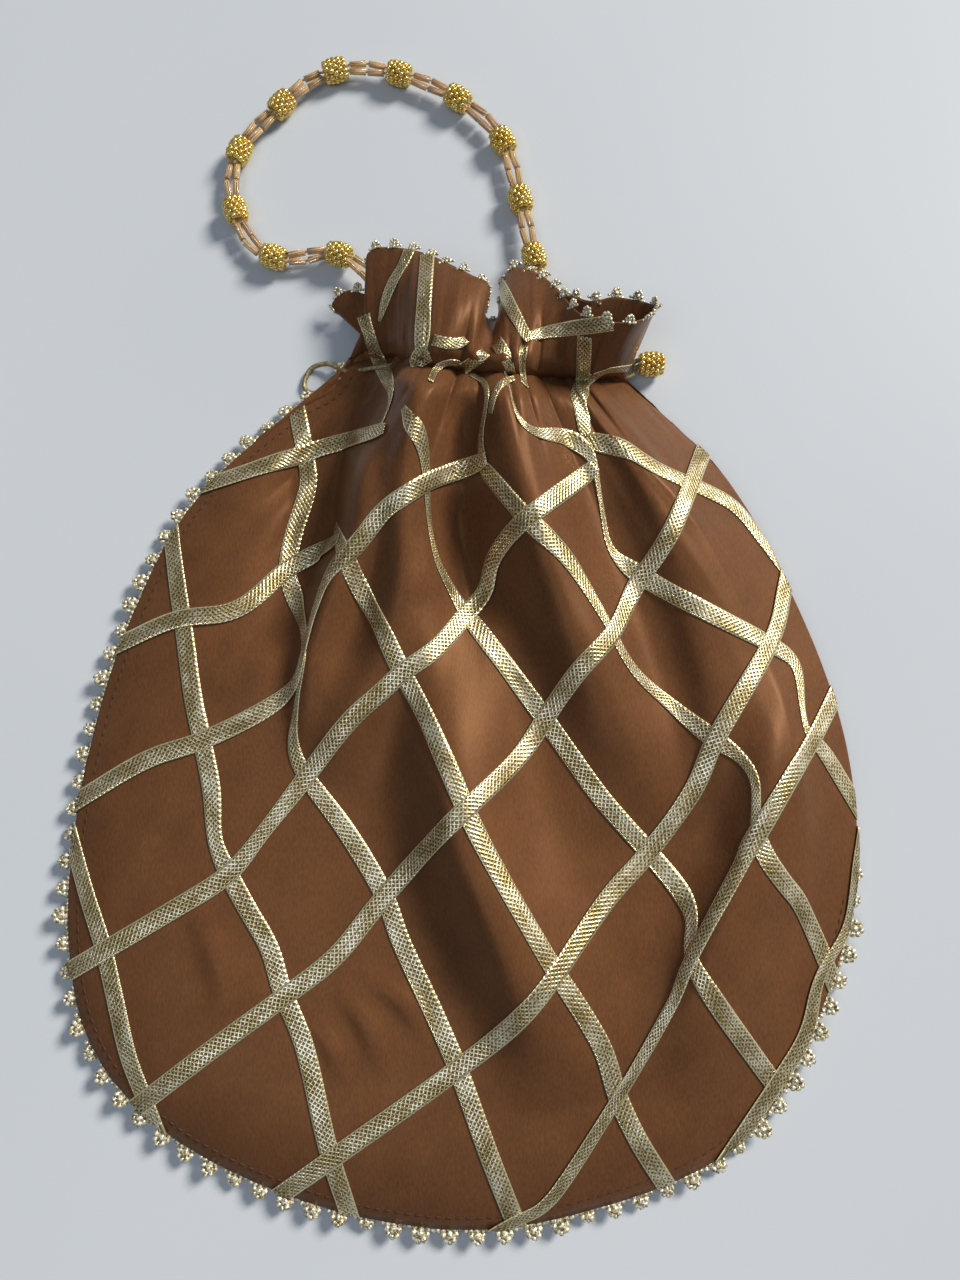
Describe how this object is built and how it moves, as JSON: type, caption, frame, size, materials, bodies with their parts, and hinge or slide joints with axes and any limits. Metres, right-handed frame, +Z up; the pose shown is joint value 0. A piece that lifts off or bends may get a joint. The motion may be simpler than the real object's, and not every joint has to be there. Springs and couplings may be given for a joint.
{
  "type": "potli bag",
  "caption": "Round gathered satin drawstring pouch with a diagonal trellis of metallic ribbon, picot lace at seam and mouth, and a beaded loop handle, lying on its back.",
  "frame": {"origin": "centre of the bag's underside, without the handle and drawstring, on the surface it lies on", "axes": "+X to the right as the front is seen, +Y from the pouch through the neck to the mouth, +Z up from the surface"},
  "size_m": [0.2182, 0.3332, 0.0316],
  "materials": {
    "satin": "woven satin, soft sheen",
    "gota_ribbon": "woven metallic ribbon",
    "picot_lace": "metallic thread picot",
    "gold_cord": "twisted metallic thread",
    "gold_bead": "gold plated, granulated",
    "bugle_glass": "polished tinted glass tube on thread"
  },
  "bodies": {
    "root": {"front_panel": "satin", "back_panel": "satin", "front_ribbon_rise_1": "gota_ribbon", "front_ribbon_rise_2": "gota_ribbon", "front_ribbon_rise_3": "gota_ribbon", "front_ribbon_rise_4": "gota_ribbon", "front_ribbon_rise_5": "gota_ribbon", "front_ribbon_rise_6": "gota_ribbon", "front_ribbon_rise_7": "gota_ribbon", "front_ribbon_rise_8": "gota_ribbon", "front_ribbon_fall_1": "gota_ribbon", "front_ribbon_fall_2": "gota_ribbon", "front_ribbon_fall_3": "gota_ribbon", "front_ribbon_fall_4": "gota_ribbon", "front_ribbon_fall_5": "gota_ribbon", "front_ribbon_fall_6": "gota_ribbon", "front_ribbon_fall_7": "gota_ribbon", "front_ribbon_fall_8": "gota_ribbon", "back_ribbon_rise_1": "gota_ribbon", "back_ribbon_rise_2": "gota_ribbon", "back_ribbon_rise_3": "gota_ribbon", "back_ribbon_rise_4": "gota_ribbon", "back_ribbon_rise_5": "gota_ribbon", "back_ribbon_rise_6": "gota_ribbon", "back_ribbon_rise_7": "gota_ribbon", "back_ribbon_rise_8": "gota_ribbon", "back_ribbon_fall_1": "gota_ribbon", "back_ribbon_fall_2": "gota_ribbon", "back_ribbon_fall_3": "gota_ribbon", "back_ribbon_fall_4": "gota_ribbon", "back_ribbon_fall_5": "gota_ribbon", "back_ribbon_fall_6": "gota_ribbon", "back_ribbon_fall_7": "gota_ribbon", "back_ribbon_fall_8": "gota_ribbon", "seam_lace": "picot_lace", "mouth_lace": "picot_lace", "drawstring": "gold_cord", "drawstring_bead": "gold_bead", "handle_strand_a": "bugle_glass", "handle_strand_b": "bugle_glass", "handle_bead_01": "gold_bead", "handle_bead_02": "gold_bead", "handle_bead_03": "gold_bead", "handle_bead_04": "gold_bead", "handle_bead_05": "gold_bead", "handle_bead_06": "gold_bead", "handle_bead_07": "gold_bead", "handle_bead_08": "gold_bead", "handle_bead_09": "gold_bead", "handle_bead_10": "gold_bead", "handle_bead_11": "gold_bead", "handle_bead_12": "gold_bead"}
  },
  "joints": []
}
